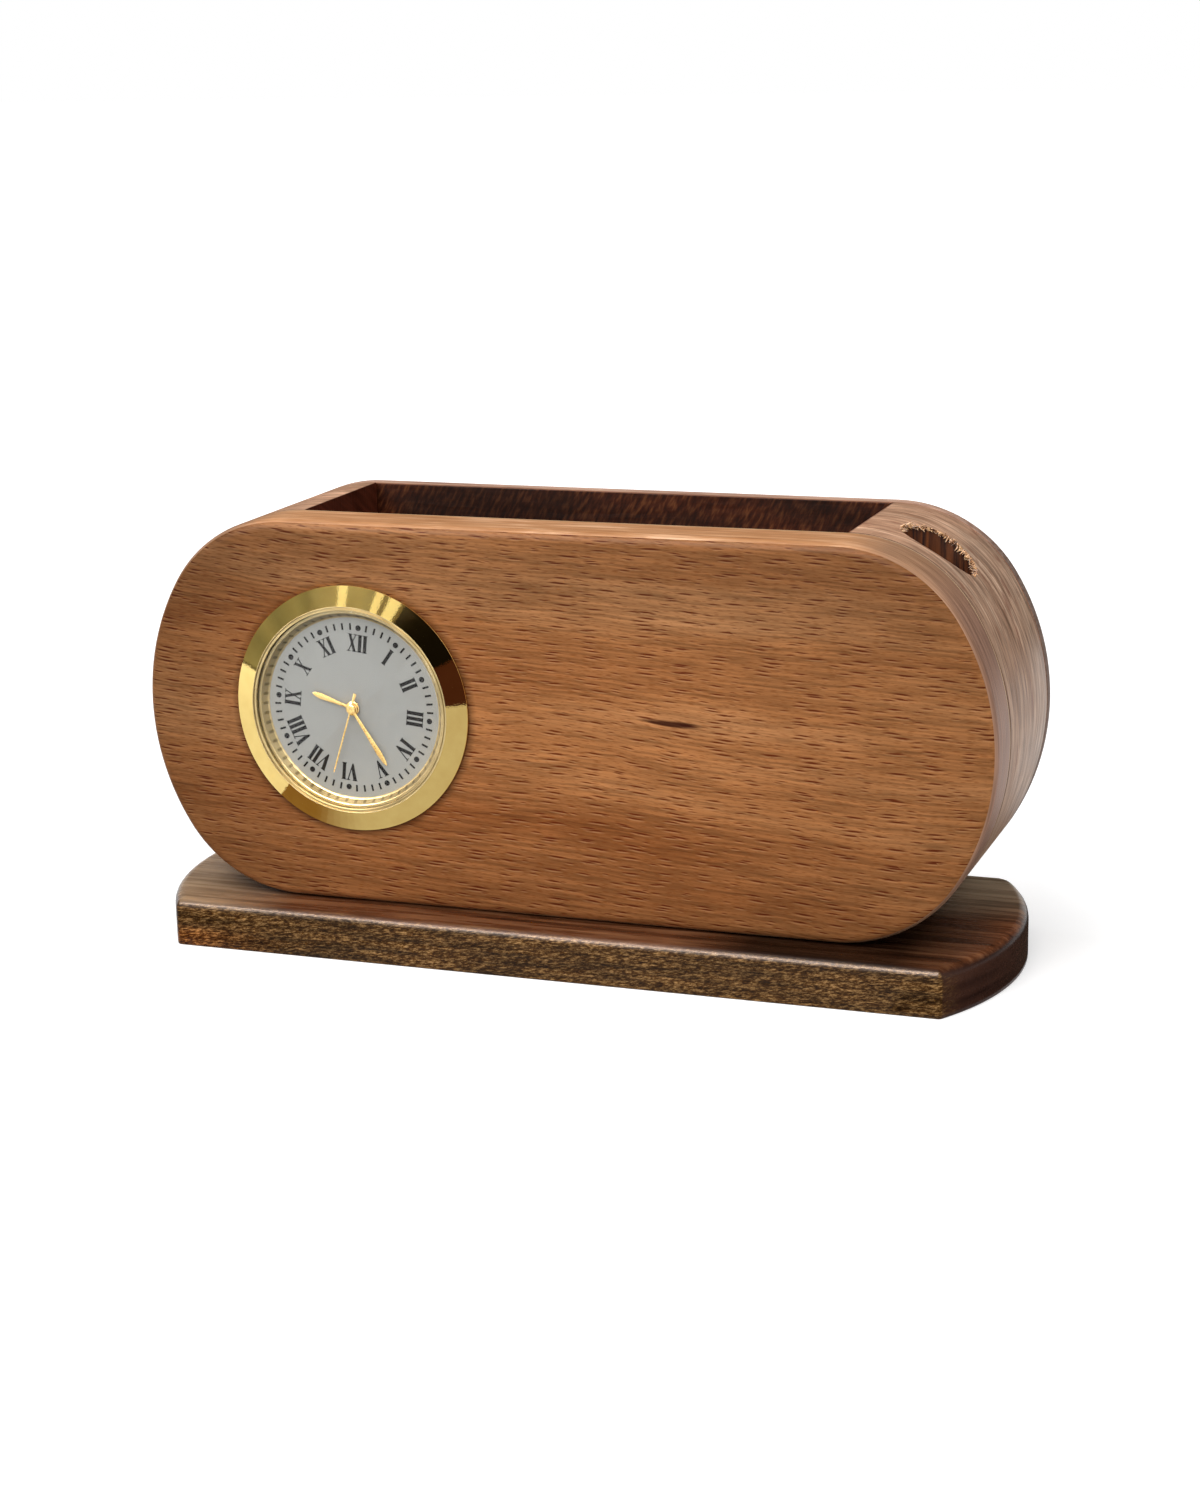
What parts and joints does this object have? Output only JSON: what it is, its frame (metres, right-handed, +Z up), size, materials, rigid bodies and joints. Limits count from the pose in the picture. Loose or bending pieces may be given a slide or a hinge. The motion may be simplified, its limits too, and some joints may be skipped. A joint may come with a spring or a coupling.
{
  "type": "pen holder clock",
  "caption": "Wooden desk pen holder with rounded ends on a dark base: an open pen well, a drilled pen hole and a push-in quartz clock with a gold bezel.",
  "frame": {"origin": "middle of the base's underside", "axes": "+X along the holder to the right seen from the clock side, +Y from the clock side to the rear, +Z up"},
  "size_m": [0.1772, 0.062, 0.0875],
  "materials": {
    "dark_wood": "dark stained open-pored wood under satin varnish",
    "beech": "orange-brown beech with short dark flecks, satin varnish",
    "pale_wood": "greyer sanded wood with long grain lines, thin varnish",
    "red_wood": "thin reddish brown board, thin varnish",
    "gold": "polished gold plating",
    "brass": "turned brass",
    "steel": "plain steel",
    "glass": "clear flat mineral glass",
    "dial_white": "off-white matt paint with plain black numerals",
    "black_plastic": "moulded black plastic",
    "white_plastic": "moulded off-white plastic",
    "rubber": "soft matt band",
    "copper": null,
    "board_green": "green circuit board"
  },
  "bodies": {
    "stand": {"base_plate": "dark_wood", "front_panel": "beech", "left_end_block": "pale_wood", "right_end_block": "pale_wood", "rear_panel": "red_wood", "base_screw_1": "steel", "base_screw_2": "steel", "base_screw_3": "steel", "base_screw_4": "steel"},
    "insert": {"bezel": "gold", "lens": "glass", "dial_ring": "gold", "dial": "dial_white", "case_cup": "brass", "grip_band": "rubber", "movement_holder": "white_plastic", "back_cover": "black_plastic", "main_plate": "brass", "train_bridge": "brass", "bridge_screw_1": "steel", "bridge_screw_2": "steel", "bridge_screw_3": "steel", "stator": "steel", "coil_core": "steel", "coil": "copper", "circuit_board": "board_green", "quartz_can": "steel", "chip_bead": "black_plastic", "cell": "steel", "cell_contact": "brass"},
    "second": {"second_hand": "gold", "seconds_wheel": "brass"},
    "minute": {"minute_hand": "gold", "cannon_pinion": "steel", "centre_wheel": "brass"},
    "hour": {"hour_hand": "gold", "hour_wheel": "brass"},
    "minute_wheel": {"minute_wheel": "brass"},
    "third_wheel": {"third_wheel": "brass"},
    "fifth_wheel": {"fifth_wheel": "brass"},
    "rotor": {"rotor_pinion": "steel", "rotor_magnet": "steel"},
    "hatch": {"battery_hatch": "black_plastic"},
    "stem": {"setting_stem": "steel"},
    "crown": {"crown": "black_plastic"}
  },
  "joints": [
    {"name": "insert_slide", "type": "slide", "parent": "stand", "child": "insert", "axis": [0, -1, 0], "range_m": [0, 0.03]},
    {"name": "second_turn", "type": "hinge", "parent": "insert", "child": "second", "pos_m": [-0.0421, -0.0224, 0.05005], "axis": [0, 1, 0], "continuous": true},
    {"name": "minute_turn", "type": "hinge", "parent": "insert", "child": "minute", "pos_m": [-0.0421, -0.0224, 0.05005], "axis": [0, 1, 0], "continuous": true},
    {"name": "hour_turn", "type": "hinge", "parent": "insert", "child": "hour", "pos_m": [-0.0421, -0.0224, 0.05005], "axis": [0, 1, 0], "continuous": true},
    {"name": "minute_wheel_turn", "type": "hinge", "parent": "insert", "child": "minute_wheel", "pos_m": [-0.0369, -0.0224, 0.05005], "axis": [0, 1, 0], "continuous": true},
    {"name": "third_wheel_turn", "type": "hinge", "parent": "insert", "child": "third_wheel", "pos_m": [-0.04721, -0.0224, 0.053], "axis": [0, 1, 0], "continuous": true},
    {"name": "fifth_wheel_turn", "type": "hinge", "parent": "insert", "child": "fifth_wheel", "pos_m": [-0.0369, -0.0224, 0.05305], "axis": [0, 1, 0], "continuous": true},
    {"name": "rotor_turn", "type": "hinge", "parent": "insert", "child": "rotor", "pos_m": [-0.0341, -0.0224, 0.0482], "axis": [0, 1, 0], "continuous": true},
    {"name": "hatch_turn", "type": "hinge", "parent": "insert", "child": "hatch", "pos_m": [-0.0415, -0.0224, 0.06065], "axis": [0, 1, 0], "range_deg": [0, 40]},
    {"name": "stem_pull", "type": "slide", "parent": "insert", "child": "stem", "axis": [1, 0, 0], "range_m": [0, 0.0008]},
    {"name": "crown_turn", "type": "hinge", "parent": "stem", "child": "crown", "pos_m": [-0.0221, -0.02005, 0.05005], "axis": [1, 0, 0], "continuous": true}
  ],
  "couplings": [
    {"joint": "minute_turn", "follows": "second_turn", "ratio": 0.016667},
    {"joint": "hour_turn", "follows": "second_turn", "ratio": 0.0013889},
    {"joint": "minute_wheel_turn", "follows": "second_turn", "ratio": -0.0055556},
    {"joint": "third_wheel_turn", "follows": "second_turn", "ratio": -0.13333},
    {"joint": "fifth_wheel_turn", "follows": "second_turn", "ratio": -5},
    {"joint": "rotor_turn", "follows": "second_turn", "ratio": 30}
  ]
}
